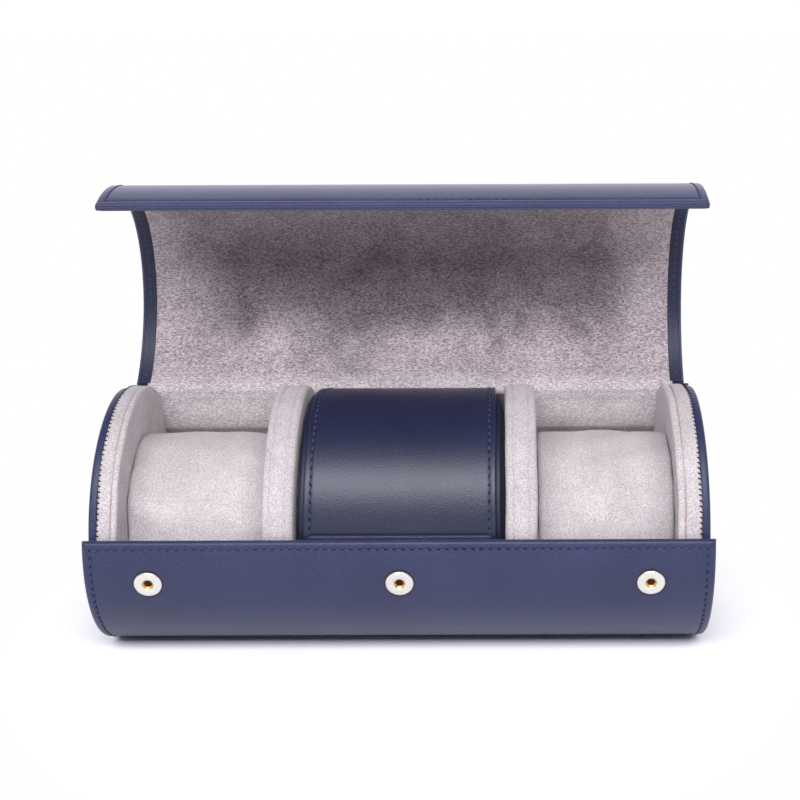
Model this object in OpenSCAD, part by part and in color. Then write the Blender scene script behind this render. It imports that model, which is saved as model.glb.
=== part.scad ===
/* [Case] */
// Length of the leather wrap
case_w = 220; // [190:1:260]
// Outer radius of the round section
case_r = 47.6; // [44:0.2:56]
// Depth of the flat that the case stands on
base_flat = 0.6; // [0.3:0.1:0.9]
// Height of the front edge above the table
panel_h = 51.2; // [48:0.2:54]
// Angle of the lid's hinge above the level through the axis, at the back
hinge_a = 51; // [48:1:56]
// Angle on each side of the lowest line that the bottom strip of leather covers
bottom_a = 16; // [12:1:20]

/* [Wall] */
// Thickness of the leather
leather_t = 1.2; // [1:0.1:1.4]
// Thickness of the stiffening board in the body
board_t = 1.3; // [1:0.1:1.6]
// Thickness of the suede lining
lining_t = 0.5; // [0.4:0.1:0.7]
// Thickness of the thinner board in the lid
lid_board_t = 0.9; // [0.7:0.1:1.1]
// Gap between pieces that lie against each other
fit_gap = 0.1; // [0.05:0.05:0.2]

/* [Lid] */
// How far the lid is open in the photograph
open_a = 97; // [80:1:110]
// How far forward of the case's axis the lid's curve is centred
lid_forward = 1.5; // [1.3:0.1:1.8]
// How far below the case's axis the lid's curve is centred
lid_down = 1.05; // [0.85:0.1:1.35]
// How much the lid is narrower than the wrap at each side
lid_inset = 1.9; // [0:0.1:2.4]
// Length of the lip that bends out to free the studs
lip_len = 37; // [32:1:44]
// Distance from the studs to the lid's free edge
lip_margin = 14; // [10:0.5:16]
// Width of the leather strips inside the lid's ends
facing_w = 4.6; // [3:0.2:8]
// Width of the leather strip inside the lid's free edge
lip_facing_w = 22; // [20:1:26]
// Radius of the piping along the lid's hinge
hinge_pipe_r = 0.9; // [0.6:0.1:1.2]

/* [Ends] */
// How far an end's outer face lies inside the wrap's side
end_inset = 1.4; // [0.6:0.2:3]
// Thickness of the leather-covered end board
end_t = 3; // [2.6:0.2:3.6]
// Thickness of the padded disc inside each end
pad_t = 8; // [7:0.5:10]
// Distance from the pad's seam to its inner face
pad_seam = 3; // [3:0.2:4]
// Rounding of the end board's outer edge
end_round = 1.1; // [0.5:0.1:1.1]
// How far the end board stands inside the pad's rim
end_step = 0.8; // [0.4:0.1:1.5]

/* [Dividers] */
// Distance from the case's middle to a divider's middle
divider_x = 42.7; // [40:0.5:46]
// Thickness of a divider
divider_t = 11.2; // [9:0.2:13]
// Width between the two piped seams on a divider's rim
divider_band = 5.4; // [4:0.2:6]
// Thickness of a divider's board
divider_board_t = 2; // [1.5:0.1:3]

/* [Padding] */
// Thickness of the suede
suede_t = 0.8; // [0.6:0.1:1]
// Radius of the piping in the seams
pipe_r = 0.55; // [0.4:0.05:0.7]
// How far a padded face bulges at its middle
pad_crown = 0.8; // [0.3:0.1:1.2]
// Rounding of a padded face's edge
pad_round = 2.4; // [1.8:0.1:3]

/* [Cushions] */
// Radius of a watch cushion at its middle
cushion_r = 27; // [22:0.5:30]
// Radius that a watch cushion loses towards its ends
cushion_draw = 0.9; // [0.3:0.1:1.5]
// Rounding of a watch cushion's ends
cushion_round = 4.5; // [3:0.5:6]
// Gap between a watch cushion and the discs beside it
cushion_gap = 0.35; // [0.3:0.05:0.6]
// Lean of the way out of the cushions, forward from upright
lift_a = 23; // [18:1:28]

/* [Drum] */
// Gap between the leather flap and the case's lining
flap_gap = 1.3; // [1.2:0.1:2]
// Gap between each end of the leather drum and the divider beside it
drum_gap = 0.5; // [0.3:0.1:1.5]
// How far the flap's side edges lie inside the drum's
flap_inset = 3; // [1:0.2:5]
// Angle of the flap's hinge above the level through the axis, at the back
flap_hinge_a = 58; // [56:1:64]
// Angle at which the flap ends behind the front panel
flap_end_a = 177; // [176.6:0.1:178]
// Angle at which the inner leather ends under the flap
mouth_a = 104; // [96:1:112]
// Rounding of the inner leather's corners
mouth_round = 12; // [8:1:16]
// Radius of the rolled edge along the flap's hinge
flap_pipe_r = 0.8; // [0.6:0.1:1]

/* [Studs] */
// Distance between neighbouring studs
stud_pitch = 87.6; // [80:0.2:92]
// Height of the studs above the table
stud_h = 35.4; // [34:0.2:38]
// Diameter of a stud's nickel face
stud_d = 9.8; // [8:0.1:11]
// How far a stud's face stands out of the leather
stud_proud = 0.4; // [0.3:0.05:0.5]
// Diameter of a stud's brass socket
socket_d = 4.2; // [3.4:0.1:5]
// Diameter of the hole in a brass socket
socket_hole = 2; // [1.4:0.1:2.4]
// How deep the socket lies under the nickel face
socket_sink = 0.5; // [0.3:0.1:0.8]
// Thickness of the washer behind a stud
washer_t = 0.4; // [0.3:0.05:0.45]
// How much wider than its stud the washer is
washer_more = 2.4; // [1:0.2:4]
// Diameter of the cap on the lid's side of a stud
cap_d = 9; // [7:0.1:10]
// Height of the nub on that cap
nub_h = 0.2; // [0.1:0.05:0.25]
// Diameter of that nub
nub_d = 1.6; // [1.2:0.1:1.8]

/* [Hidden] */
$fn = 96;

navy = "#2d3358";
navy_dark = "#20264a";
suede = "#c3bac4";
foam = "#e6e0d2";
card = "#8d8273";
nickel = "#e9e7e6";
brass = "#c79a4b";

// Heights and radii that follow from the sizes above
axis_z = case_r - base_flat;
board_r = case_r - leather_t;
lining_r = board_r - board_t;
room_r = lining_r - lining_t;
wall_t = case_r - room_r;
disc_r = room_r - fit_gap;
side_x = case_w / 2;
hinge_y = case_r * cos(hinge_a);
hinge_z = case_r * sin(hinge_a);
edge_r = wall_t / 2;
front_a = 180 - asin((panel_h - edge_r - axis_z) / (case_r - edge_r));
stud_a = 180 + asin((axis_z - stud_h) / case_r);

// The lid's curve has its own centre, so that it clears the studs in front and is flush at the hinge
lid_dy = hinge_y + lid_forward;
lid_dz = hinge_z + lid_down;
lid_r = norm([lid_dy, lid_dz]);
lid_t = leather_t + lid_board_t + lining_t;
lid_start = atan2(lid_dz, lid_dy);
stud_dy = case_r * cos(stud_a) + lid_forward;
stud_dz = case_r * sin(stud_a) + lid_down;
lid_stud_a = atan2(stud_dz, stud_dy) + 360;
lid_end = lid_stud_a + arc(lip_margin, lid_r);
lid_x = side_x - lid_inset;
lip_a = lid_end - arc(lip_len, lid_r);

end_x = side_x - end_inset;
pad_x = end_x - end_t;
pad_face_x = pad_x - pad_t;
compartment_1 = divider_x + divider_t / 2;
cushion_x = (compartment_1 + pad_face_x) / 2;
cushion_w = pad_face_x - compartment_1 - 2 * pad_crown - 2 * cushion_gap;
cushion_end_r = cushion_r - cushion_draw - cushion_round;
flap_r = room_r - flap_gap;
drum_w = 2 * (divider_x - divider_t / 2 - drum_gap);
flap_w = drum_w - 2 * flap_inset;
drum_r = flap_r - leather_t - lining_t - 2 * fit_gap;
drum_board_r = drum_r - leather_t;
drum_lining_r = drum_board_r - lid_board_t;
drum_room_r = drum_lining_r - lining_t;
drum_end_t = 2.5;
drum_end_x = divider_x - divider_t / 2 - pad_crown - fit_gap - drum_end_t;
core_gap = 0.05;
arc_steps = 7;

// Angle of an arc of a length on a radius
function arc(length, radius) = length / radius * 180 / PI;

// Points of half a padded disc: crowned face, rounded edge, straight rim, from the axis out
function padded(radius, height, edge, crown) = concat(
    [for (i = [0:arc_steps]) let(s = i / arc_steps) [(radius - edge) * s, height + crown * (1 - s * s)]],
    [for (i = [1:arc_steps]) let(a = 90 - 90 * i / arc_steps)
        [radius - edge + edge * cos(a), height - edge + edge * sin(a)]],
    [[radius, 0], [0, 0]]);

// Points of a cushion's section: a crowned roll with rounded ends
function roll(radius, half, edge, draw) = concat(
    [[0, -half]],
    [for (i = [0:arc_steps]) let(a = -90 + 90 * i / arc_steps)
        [radius - draw - edge + edge * cos(a), -half + edge + edge * sin(a)]],
    [for (i = [1:arc_steps - 1]) let(s = -1 + 2 * i / arc_steps)
        [radius - draw * s * s, s * (half - edge)]],
    [for (i = [0:arc_steps]) let(a = 90 * i / arc_steps)
        [radius - draw - edge + edge * cos(a), half - edge + edge * sin(a)]],
    [[0, half]]);

// Turns a shape made around Z so that it lies around the case's axis
module on_axis() {
    translate([0, 0, axis_z]) rotate([90, 0, 90]) children();
}

// Part of a tube around Z: radii, angles and ends
module band(inner, outer, start, end, low, high) {
    rotate([0, 0, start]) rotate_extrude(angle = end - start)
        translate([inner, low]) square([outer - inner, high - low]);
}

module ring(inner, outer, low, high) {
    difference() {
        translate([0, 0, low]) cylinder(r = outer, h = high - low);
        translate([0, 0, low - 1]) cylinder(r = inner, h = high - low + 2);
    }
}

module cord(radius, thickness, at) {
    translate([0, 0, at]) rotate_extrude() translate([radius, 0]) circle(thickness, $fn = 24);
}

// Makes a shape at each of the two ends or dividers
module on_right() {
    on_axis() children();
}

module on_left() {
    mirror([1, 0, 0]) on_axis() children();
}

// Cuts the flat that the case stands on
module standing() {
    difference() {
        children();
        translate([-case_w, -case_r, -case_r]) cube([2 * case_w, 2 * case_r, case_r]);
    }
}

// A place on the front wall at each stud, with Z pointing out of the wall
module at_studs() {
    for (i = [-1:1]) rotate([0, 0, stud_a]) translate([0, 0, i * stud_pitch]) rotate([0, 90, 0]) children();
}

module stud_holes(diameter, from) {
    at_studs() translate([0, 0, from]) cylinder(d = diameter, h = case_r, $fn = 48);
}

// The space that the hinge's piping turns in
module hinge_room() {
    translate([hinge_y, hinge_z, -case_w]) cylinder(r = hinge_pipe_r + fit_gap, h = 2 * case_w, $fn = 48);
}

// The wrap's leather between two angles, turned in at both sides
module wrap_skin(start, end) {
    band(board_r, case_r, start, end, -side_x, side_x);
    for (side = [-side_x, side_x - leather_t])
        band(room_r, board_r, start, end, side, side + leather_t);
}

module base_leather() {
    color(navy) on_axis() difference() {
        union() {
            wrap_skin(front_a - 360, -90 - bottom_a);
            wrap_skin(-90 + bottom_a, hinge_a - arc(fit_gap, case_r));
            band(room_r, board_r, front_a - 360, front_a - 360 + arc(leather_t, case_r), -side_x, side_x);
            rotate([0, 0, front_a]) translate([case_r - edge_r, 0, -side_x])
                cylinder(r = edge_r, h = case_w, $fn = 32);
        }
        stud_holes(stud_d + 2 * fit_gap, room_r - 1);
        hinge_room();
    }
}

module bottom_leather() {
    gap = arc(core_gap, case_r);
    color(navy) standing() on_axis() wrap_skin(-90 - bottom_a + gap, -90 + bottom_a - gap);
}

module base_layer(inner, outer) {
    inset = leather_t + fit_gap;
    band(inner, outer, front_a - 360 + arc(inset + edge_r, case_r), hinge_a - arc(fit_gap, case_r),
        -side_x + inset, side_x - inset);
}

module base_board() {
    color(card) on_axis() difference() {
        base_layer(lining_r, board_r);
        stud_holes(stud_d + 2 * fit_gap, room_r - 1);
    }
}

module base_lining() {
    color(suede) on_axis() difference() {
        base_layer(room_r, lining_r);
        stud_holes(stud_d + washer_more + 2 * fit_gap, room_r - 1);
    }
}

module hinge_piping() {
    color(navy) on_axis() translate([hinge_y, hinge_z, -side_x]) cylinder(r = hinge_pipe_r, h = case_w, $fn = 32);
}

// Ends, made at +X: leather over a board, then a suede pad of foam with one piped seam
module end_leather() {
    outer = disc_r - end_step;
    color(navy) difference() {
        rotate_extrude() polygon(concat([[0, pad_x]], [[0, end_x]],
            [for (i = [0:arc_steps]) let(a = 90 - 90 * i / arc_steps)
                [outer - end_round + end_round * cos(a), end_x - end_round + end_round * sin(a)]],
            [[outer, pad_x]]));
        translate([0, 0, pad_x - 1]) cylinder(r = outer - leather_t, h = end_t - leather_t + 1);
    }
}

module end_board() {
    color(card) translate([0, 0, pad_x]) cylinder(r = disc_r - end_step - leather_t - fit_gap,
        h = end_t - leather_t - core_gap);
}

// Turns a pad that is built up from zero so that it faces the case's middle
module facing_in(from) {
    translate([0, 0, from]) mirror([0, 0, 1]) children();
}

module pad_cap(seam, face) {
    height = face - seam - pipe_r;
    translate([0, 0, seam + pipe_r]) difference() {
        rotate_extrude() polygon(padded(disc_r, height, pad_round, pad_crown));
        translate([0, 0, -core_gap]) rotate_extrude()
            polygon(padded(disc_r - suede_t, height - suede_t + core_gap, pad_round - suede_t, pad_crown));
    }
}

module pad_foam(from, seam, face) {
    height = face - suede_t - core_gap - from;
    translate([0, 0, from]) rotate_extrude()
        polygon(padded(disc_r - suede_t - fit_gap, height, pad_round, pad_crown));
}

module end_foam() {
    color(foam) facing_in(pad_x) difference() {
        pad_foam(core_gap, pad_t - pad_seam, pad_t);
        cord(disc_r - pipe_r, pipe_r + fit_gap, pad_t - pad_seam);
    }
}

module end_band() {
    color(suede) facing_in(pad_x) ring(disc_r - suede_t, disc_r, core_gap, pad_t - pad_seam - pipe_r);
}

module end_piping() {
    color(suede) facing_in(pad_x) cord(disc_r - pipe_r, pipe_r - core_gap, pad_t - pad_seam);
}

module end_face() {
    color(suede) facing_in(pad_x) pad_cap(pad_t - pad_seam, pad_t);
}

// Dividers, made around the middle of the disc
module both_faces() {
    children();
    mirror([0, 0, 1]) children();
}

module divider_place() {
    translate([0, 0, divider_x]) children();
}

module divider_board() {
    color(card) divider_place() translate([0, 0, -divider_board_t / 2])
        cylinder(r = disc_r - suede_t - fit_gap, h = divider_board_t);
}

module divider_foam() {
    color(foam) divider_place() both_faces() difference() {
        pad_foam(divider_board_t / 2 + core_gap, divider_band / 2, divider_t / 2);
        cord(disc_r - pipe_r, pipe_r + fit_gap, divider_band / 2);
    }
}

module divider_band() {
    half = divider_band / 2 - pipe_r;
    color(suede) divider_place() ring(disc_r - suede_t, disc_r, -half, half);
}

module divider_piping() {
    color(suede) divider_place() both_faces() cord(disc_r - pipe_r, pipe_r - core_gap, divider_band / 2);
}

module divider_faces() {
    color(suede) divider_place() both_faces() pad_cap(divider_band / 2, divider_t / 2);
}

// Studs in the front panel
module stud_rings() {
    color(nickel) on_axis() at_studs() difference() {
        translate([0, 0, lining_r + fit_gap])
            cylinder(d = stud_d, h = case_r + stud_proud - lining_r - fit_gap, $fn = 48);
        cylinder(d = socket_d + 2 * fit_gap, h = 2 * case_r, $fn = 48);
    }
}

module stud_sockets() {
    color(brass) on_axis() at_studs() difference() {
        translate([0, 0, lining_r + fit_gap])
            cylinder(d = socket_d, h = case_r + stud_proud - socket_sink - lining_r - fit_gap, $fn = 48);
        translate([0, 0, board_r]) cylinder(d = socket_hole, h = case_r, $fn = 48);
    }
}

module stud_washers() {
    wide = arc(stud_d + washer_more, lining_r);
    color(nickel) on_axis() intersection() {
        band(lining_r - washer_t, lining_r - core_gap, stud_a - wide, stud_a + wide, -side_x, side_x);
        at_studs() cylinder(d = stud_d + washer_more, h = case_r, $fn = 48);
    }
}

// Drum in the middle compartment
module mouth_cut() {
    // rounds the two corners of the inner leather where it ends under the flap
    inset = mouth_round - core_gap;
    for (side = [-1, 1]) translate([0, 0, side * (drum_w / 2 - inset)]) rotate([0, 0, mouth_a])
        rotate([0, 90, 0]) difference() {
            translate([side > 0 ? -mouth_round - 1 : 0, -1, 0]) cube([mouth_round + 1, inset + 1, case_r]);
            translate([0, inset, -1]) cylinder(r = mouth_round, h = case_r + 2, $fn = 64);
        }
}

module drum_layer(inner, outer, width) {
    band(inner, outer, mouth_a - 360, flap_hinge_a, -width / 2, width / 2);
}

module drum_leather() {
    color(navy_dark) on_axis() difference() {
        drum_layer(drum_board_r, drum_r, drum_w);
        mouth_cut();
    }
}

module drum_board() {
    color(card) on_axis() difference() {
        drum_layer(drum_lining_r, drum_board_r - core_gap, drum_w - 2 * fit_gap);
        mouth_cut();
    }
}

module drum_lining() {
    color(suede) on_axis() difference() {
        drum_layer(drum_room_r, drum_lining_r - core_gap, drum_w - 2 * fit_gap);
        mouth_cut();
    }
}

module drum_strap() {
    color(navy) on_axis() difference() {
        band(drum_r + core_gap, flap_r, flap_end_a - 360 + arc(2 * fit_gap, flap_r),
            flap_hinge_a - arc(fit_gap, flap_r), -flap_w / 2, flap_w / 2);
        flap_room();
    }
}

module drum_ends() {
    color(suede) on_axis() both_faces() translate([0, 0, drum_end_x])
        cylinder(r = drum_room_r - fit_gap, h = drum_end_t - core_gap);
}

module flap_room() {
    rotate([0, 0, flap_hinge_a]) translate([flap_r, 0, -case_w])
        cylinder(r = flap_pipe_r + fit_gap, h = 2 * case_w, $fn = 48);
}

module flap_piping() {
    color(navy) on_axis() rotate([0, 0, flap_hinge_a]) translate([flap_r, 0, -flap_w / 2])
        cylinder(r = flap_pipe_r, h = flap_w, $fn = 32);
}

module flap_layer(inner, outer, inset) {
    difference() {
        band(inner, outer, flap_hinge_a + arc(fit_gap, flap_r), flap_end_a - arc(inset, flap_r),
            -flap_w / 2 + inset, flap_w / 2 - inset);
        flap_room();
    }
}

module flap_leather() {
    color(navy) on_axis() flap_layer(flap_r - leather_t, flap_r, 0);
}

module flap_lining() {
    color(suede) on_axis() flap_layer(flap_r - leather_t - lining_t, flap_r - leather_t - core_gap, leather_t);
}

// Lid, drawn closed and then opened about its hinge
module opened() {
    translate([0, hinge_y, axis_z + hinge_z]) rotate([-open_a, 0, 0])
        translate([0, -hinge_y, -axis_z - hinge_z]) children();
}

module on_lid_axis() {
    opened() translate([0, -lid_forward, -lid_down]) on_axis() children();
}

module lid_hinge_room() {
    translate([lid_dy, lid_dz, -case_w]) cylinder(r = hinge_pipe_r + fit_gap, h = 2 * case_w, $fn = 48);
}

lid_board_r = lid_r - leather_t;
lid_lining_r = lid_board_r - lid_board_t;
lid_room_r = lid_lining_r - lining_t;
lid_back = lid_start + arc(fit_gap, lid_r);
lip_back = lip_a + arc(fit_gap, lid_r);

// Leather with turned sides; the pocket between them ends at an angle of its own
module lid_skin(start, end, pocket) {
    difference() {
        band(lid_room_r, lid_r, start, end, -lid_x, lid_x);
        band(lid_room_r - 1, lid_board_r, start - 1, pocket, -lid_x + leather_t, lid_x - leather_t);
    }
}

module lid_sheet(inner, outer, start, end, inset) {
    band(inner, outer - core_gap, start, end, -lid_x + inset, lid_x - inset);
}

module lid_leather() {
    color(navy) on_lid_axis() difference() {
        lid_skin(lid_back, lip_a, lip_a + 1);
        lid_hinge_room();
    }
}

module lid_board() {
    color(card) on_lid_axis() difference() {
        lid_sheet(lid_lining_r, lid_board_r, lid_back, lip_a, leather_t + fit_gap);
        lid_hinge_room();
    }
}

module lid_lining() {
    color(suede) on_lid_axis() lid_sheet(lid_room_r, lid_lining_r, lid_back, lip_a, facing_w + fit_gap);
}

module facings(start, end) {
    for (side = [-lid_x + leather_t + fit_gap, lid_x - facing_w])
        band(lid_room_r, lid_lining_r - core_gap, start, end, side, side + facing_w - leather_t - fit_gap);
}

module lid_facings() {
    color(navy) on_lid_axis() facings(lid_back, lip_a);
}

lip_inner_end = lid_end - arc(leather_t + fit_gap, lid_r);
lip_facing_start = lid_end - arc(lip_facing_w, lid_r);

module lip_leather() {
    color(navy) on_lid_axis() lid_skin(lip_back, lid_end, lid_end - arc(leather_t, lid_r));
}

module cap_holes() {
    for (i = [-1:1]) rotate([0, 0, lid_stud_a]) translate([0, 0, i * stud_pitch]) rotate([0, 90, 0])
        cylinder(d = cap_d + 2 * fit_gap, h = lid_lining_r, $fn = 48);
}

module lip_board() {
    color(card) on_lid_axis()
        lid_sheet(lid_lining_r, lid_board_r, lip_back, lip_inner_end, leather_t + fit_gap);
}

module lip_lining() {
    color(suede) on_lid_axis() lid_sheet(lid_room_r, lid_lining_r, lip_back,
        lip_facing_start - arc(fit_gap, lid_r), facing_w + fit_gap);
}

module lip_facings() {
    color(navy) on_lid_axis() difference() {
        lid_sheet(lid_room_r, lid_lining_r, lip_back, lip_inner_end, leather_t + fit_gap);
        band(lid_room_r - 1, lid_lining_r + 1, lip_back - 1, lip_facing_start, -lid_x + facing_w, lid_x - facing_w);
        cap_holes();
    }
}

module at_caps() {
    for (i = [-1:1]) rotate([0, 0, lid_stud_a]) translate([0, 0, i * stud_pitch]) rotate([0, 90, 0]) children();
}

module lip_caps() {
    wide = arc(cap_d, lid_lining_r);
    color(nickel) on_lid_axis() {
        intersection() {
            band(lid_room_r, lid_lining_r - 2 * core_gap, lid_stud_a - wide, lid_stud_a + wide, -lid_x, lid_x);
            at_caps() cylinder(d = cap_d, h = lid_r, $fn = 48);
        }
        at_caps() translate([0, 0, lid_room_r - nub_h]) cylinder(d = nub_d, h = nub_h + core_gap, $fn = 48);
    }
}

// Watch cushions
module cushion_place() {
    translate([0, 0, cushion_x]) children();
}

module cushion_cover(half) {
    color(suede) difference() {
        rotate_extrude() polygon(roll(cushion_r, half, cushion_round, cushion_draw));
        rotate_extrude() polygon(roll(cushion_r - suede_t, half - suede_t, cushion_round - suede_t, cushion_draw));
        cylinder(r = cushion_end_r + core_gap, h = 3 * half, center = true);
    }
}

module cushion_foam(half) {
    inset = suede_t + core_gap;
    color(foam) rotate_extrude()
        polygon(roll(cushion_r - inset, half - inset, cushion_round - suede_t, cushion_draw));
}

module cushion_ends(half) {
    thickness = suede_t - core_gap;
    color(suede) both_faces() translate([0, 0, half - thickness])
        cylinder(r = cushion_end_r, h = thickness);
}

base_leather();
bottom_leather();
base_board();
base_lining();
hinge_piping();
on_left() end_leather();  // left_end_leather
on_right() end_leather();  // right_end_leather
on_left() end_board();  // left_end_board
on_right() end_board();  // right_end_board
on_left() end_foam();  // left_end_foam
on_right() end_foam();  // right_end_foam
on_left() end_band();  // left_end_band
on_right() end_band();  // right_end_band
on_left() end_piping();  // left_end_piping
on_right() end_piping();  // right_end_piping
on_left() end_face();  // left_end_face
on_right() end_face();  // right_end_face
on_left() divider_board();  // left_divider_board
on_right() divider_board();  // right_divider_board
on_left() divider_foam();  // left_divider_foam
on_right() divider_foam();  // right_divider_foam
on_left() divider_band();  // left_divider_band
on_right() divider_band();  // right_divider_band
on_left() divider_piping();  // left_divider_piping
on_right() divider_piping();  // right_divider_piping
on_left() divider_faces();  // left_divider_faces
on_right() divider_faces();  // right_divider_faces
stud_rings();
stud_sockets();
stud_washers();
drum_leather();
drum_board();
drum_lining();
drum_strap();
drum_ends();
flap_piping();
on_axis() cushion_cover(drum_end_x - core_gap);  // centre_cushion_cover
on_axis() cushion_foam(drum_end_x - core_gap);  // centre_cushion_foam
flap_leather();
flap_lining();
lid_leather();
lid_board();
lid_lining();
lid_facings();
lip_leather();
lip_board();
lip_lining();
lip_facings();
lip_caps();
on_left() cushion_place() cushion_cover(cushion_w / 2);  // left_cushion_cover
on_right() cushion_place() cushion_cover(cushion_w / 2);  // right_cushion_cover
on_left() cushion_place() cushion_foam(cushion_w / 2);  // left_cushion_foam
on_right() cushion_place() cushion_foam(cushion_w / 2);  // right_cushion_foam
on_left() cushion_place() cushion_ends(cushion_w / 2);  // left_cushion_ends
on_right() cushion_place() cushion_ends(cushion_w / 2);  // right_cushion_ends
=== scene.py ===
import math
import random

import bmesh
import bpy
import numpy as np
from mathutils import Matrix, Vector


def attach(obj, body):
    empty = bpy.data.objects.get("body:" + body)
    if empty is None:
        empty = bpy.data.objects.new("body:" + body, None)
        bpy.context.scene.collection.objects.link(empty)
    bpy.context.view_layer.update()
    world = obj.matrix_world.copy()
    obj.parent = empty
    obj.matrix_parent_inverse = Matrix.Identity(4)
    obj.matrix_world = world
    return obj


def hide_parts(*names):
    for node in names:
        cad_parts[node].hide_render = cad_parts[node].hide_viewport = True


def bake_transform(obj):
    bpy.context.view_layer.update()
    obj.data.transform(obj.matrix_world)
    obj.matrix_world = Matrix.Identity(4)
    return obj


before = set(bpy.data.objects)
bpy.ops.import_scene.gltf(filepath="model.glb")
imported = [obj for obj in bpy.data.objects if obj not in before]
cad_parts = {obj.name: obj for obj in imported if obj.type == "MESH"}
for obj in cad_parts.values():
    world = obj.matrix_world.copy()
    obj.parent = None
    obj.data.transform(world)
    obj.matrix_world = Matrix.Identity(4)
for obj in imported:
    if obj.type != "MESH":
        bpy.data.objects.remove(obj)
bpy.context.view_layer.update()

random.seed(7)
print("frame loaded:", len(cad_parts), "nodes")

mm = 0.001


def srgb(r, g, b):
    # a colour as it is read off a screen, 0 to 255
    flat = [c / 255 for c in (r, g, b)]
    return tuple(c / 12.92 if c <= 0.04045 else ((c + 0.055) / 1.055) ** 2.4 for c in flat) + (1.0,)


# camera
camera = {"yaw": -0.0006, "pitch": 0.1438, "roll": -0.0039, "place": (33.93, -515.67, 242.43),
          "focal": 1420.25, "centre": (494.58, 187.68), "frame": 800, "sensor": 36}


def setCamera(c):
    yaw, pitch, roll = c["yaw"], c["pitch"], c["roll"]
    forward = Vector((math.sin(yaw) * math.cos(pitch), math.cos(yaw) * math.cos(pitch), -math.sin(pitch)))
    right = Vector((math.cos(yaw), -math.sin(yaw), 0))
    up = right.cross(forward)
    right2 = right * math.cos(roll) + up * math.sin(roll)
    up2 = -right * math.sin(roll) + up * math.cos(roll)
    data = bpy.data.cameras.new("camera")
    data.sensor_fit = "HORIZONTAL"
    data.sensor_width = c["sensor"]
    data.lens = c["focal"] * c["sensor"] / c["frame"]
    data.shift_x = (c["frame"] / 2 - c["centre"][0]) / c["frame"]
    data.shift_y = (c["centre"][1] - c["frame"] / 2) / c["frame"]
    data.clip_start = 0.01
    obj = bpy.data.objects.new("camera", data)
    bpy.context.scene.collection.objects.link(obj)
    turn = Matrix((right2, up2, -forward)).transposed()
    obj.matrix_world = Matrix.Translation(Vector(c["place"]) * mm) @ turn.to_4x4()
    bpy.context.scene.camera = obj


setCamera(camera)


class Nodes:
    # short hand for building the node tree of a material or of the world

    def __init__(self, owner, bare=False):
        owner.use_nodes = True
        self.owner, self.tree = owner, owner.node_tree
        if bare:
            self.tree.nodes.clear()
        self.shader = self.tree.nodes.get("Principled BSDF")
        self.coords = self.add("TexCoord").outputs
        self.place = self.coords["Object"]

    def fill(self, node, socket, value):
        if hasattr(value, "is_output"):
            self.tree.links.new(value, node.inputs[socket])
        else:
            node.inputs[socket].default_value = value

    def add(self, kind, inputs=(), **settings):
        # inputs: pairs of a socket and what goes into it, a value or another node's output
        node = self.tree.nodes.new("ShaderNode" + kind)
        for setting, value in settings.items():
            setattr(node, setting, value)
        for socket, value in inputs:
            self.fill(node, socket, value)
        return node

    def stretched(self, scale):
        return self.add("Mapping", (("Scale", scale), ("Vector", self.place))).outputs[0]

    def noise(self, scale, detail=2.0, rough=0.5, vector=None, distortion=0.0):
        return self.add("TexNoise", (("Scale", scale), ("Detail", detail), ("Roughness", rough), ("Distortion", distortion),
                                     ("Vector", vector or self.place))).outputs["Fac"]

    def cells(self, scale):
        return self.add("TexVoronoi", (("Scale", scale), ("Vector", self.place)), feature="SMOOTH_F1").outputs["Distance"]

    def axis(self, index, vector=None):
        return self.add("SeparateXYZ", ((0, vector or self.place),)).outputs[index]

    def span(self, value, low, high, toLow=0.0, toHigh=1.0):
        return self.add("MapRange", (("From Min", low), ("From Max", high), ("To Min", toLow), ("To Max", toHigh),
                                     ("Value", value))).outputs["Result"]

    def blendColours(self, factor, first, second):
        return self.add("Mix", ((0, factor), (6, first), (7, second)), data_type="RGBA").outputs[2]

    def maths(self, first, second, operation="ADD"):
        return self.add("Math", ((0, first), (1, second)), operation=operation).outputs[0]

    def bump(self, height, strength, distance):
        node = self.add("Bump", (("Height", height), ("Strength", strength), ("Distance", distance)))
        self.put("Normal", node.outputs[0])

    def put(self, socket, value):
        self.fill(self.shader, socket, value)


# light, floor and backdrop
# fade: from what distance to what distance from the middle the floor's glow comes in; the glow is a painted light that
# clears the case's shadow beyond it
studio = {"room": 0.13, "backdrop": 0.95, "key": 14.6, "keySize": (1.3, 0.36), "keyPlace": (0.0, -0.84, 0.76),
          "keyAim": (0, 0, 0.06), "floorReach": 6.0, "floorColour": 0.92, "floorSeen": 1.4, "floorTint": (0.97, 0.97, 1.04),
          "fade": (0.112, 0.15)}


def setStudio(s):
    # one wide soft light high in front, a white backdrop behind and a dark room everywhere else
    world = bpy.data.worlds.new("studio")
    bpy.context.scene.world = world
    w = Nodes(world, True)
    depth, height = w.axis(1, w.coords["Generated"]), w.axis(2, w.coords["Generated"])
    level = w.span(height, 0.45, 0.8, 1, 0.05)
    light = w.maths(w.maths(w.span(depth, -0.1, 0.3, 0, s["backdrop"]), level, "MULTIPLY"), s["room"])
    rays = w.add("LightPath").outputs
    mirrored = w.maths(rays["Is Glossy Ray"], rays["Is Transmission Ray"], "MAXIMUM")
    mirrored = w.maths(mirrored, w.maths(w.span(depth, -0.1, 0.3, 0, 1), level, "MULTIPLY"), "MULTIPLY")
    strength = w.maths(light, w.maths(rays["Is Camera Ray"], mirrored, "MAXIMUM"), "MAXIMUM")
    back = w.add("Background", (("Color", (1, 1, 1, 1)), ("Strength", strength)))
    w.add("OutputWorld", (("Surface", back.outputs[0]),))
    data = bpy.data.lights.new("keyLamp", "AREA")
    data.shape = "RECTANGLE"
    data.size, data.size_y = s["keySize"]
    data.energy = s["key"]
    obj = bpy.data.objects.new("keyLamp", data)
    obj.location = s["keyPlace"]
    obj.rotation_euler = (Vector(s["keyAim"]) - Vector(s["keyPlace"])).to_track_quat("-Z", "Y").to_euler()
    bpy.context.scene.collection.objects.link(obj)


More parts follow.
